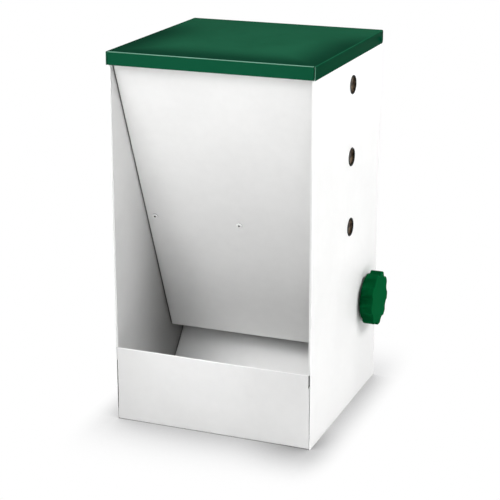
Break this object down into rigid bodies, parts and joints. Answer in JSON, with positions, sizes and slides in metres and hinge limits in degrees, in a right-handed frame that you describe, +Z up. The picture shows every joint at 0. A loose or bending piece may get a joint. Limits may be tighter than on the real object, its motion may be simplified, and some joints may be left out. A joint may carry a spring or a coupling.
{
  "type": "feed hopper",
  "caption": "Free-standing sheet steel gravity feed hopper with an open trough, inclined front panel, hinged lid and a knob-turned flow flap.",
  "frame": {"origin": "centre of the casing's base, on the surface that it stands on", "axes": "+Z up; the trough and the open front face -Y; the knob is on the +X side"},
  "size_m": [0.2424, 0.2218, 0.4],
  "materials": {
    "white_paint": "satin powder coat on sheet steel",
    "green_paint": "satin green paint on sheet steel",
    "green_plastic": "moulded, fine satin grain",
    "rivet_alloy": "plain",
    "zinc_steel": "bright zinc plate",
    "spring_steel": "blackened",
    "brass": "turned",
    "black_rubber": "matt",
    "smoked_plastic": "smoked clear plastic",
    "white_nylon": "natural nylon"
  },
  "bodies": {
    "casing": {"left_side": "white_paint", "right_side": "white_paint", "back_panel": "white_paint", "trough_pan": "white_paint", "ramp": "white_paint", "hopper_panel": "white_paint", "panel_brace": "white_paint", "lid_pin_left": "green_paint", "lid_pin_right": "green_paint", "panel_rivet_left": "rivet_alloy", "panel_rivet_centre": "rivet_alloy", "panel_rivet_right": "rivet_alloy", "knob_washer": "zinc_steel", "clip_washer": "zinc_steel", "lid_pin_washer_left": "zinc_steel", "lid_pin_washer_right": "zinc_steel", "window_grommet_top": "black_rubber", "window_grommet_middle": "black_rubber", "window_grommet_bottom": "black_rubber", "sight_window_top": "smoked_plastic", "sight_window_middle": "smoked_plastic", "sight_window_bottom": "smoked_plastic", "shaft_bush_left": "white_nylon", "shaft_bush_right": "white_nylon"},
    "lid": {"lid": "green_paint"},
    "regulator": {"regulator_shaft": "zinc_steel", "flow_flap": "zinc_steel", "flap_screw_left": "zinc_steel", "flap_screw_centre": "zinc_steel", "flap_screw_right": "zinc_steel", "knob": "green_plastic", "knob_insert": "brass", "knob_grub_screw": "spring_steel", "spring_washer": "spring_steel", "shaft_clip": "spring_steel"}
  },
  "joints": [
    {"name": "lid_hinge", "type": "hinge", "parent": "casing", "child": "lid", "pos_m": [0, 0.103, 0.391], "axis": [-1, 0, 0], "range_deg": [0, 95]},
    {"name": "regulator_turn", "type": "hinge", "parent": "casing", "child": "regulator", "pos_m": [0, 0.0697, 0.1085], "axis": [1, 0, 0], "range_deg": [0, 36]}
  ]
}
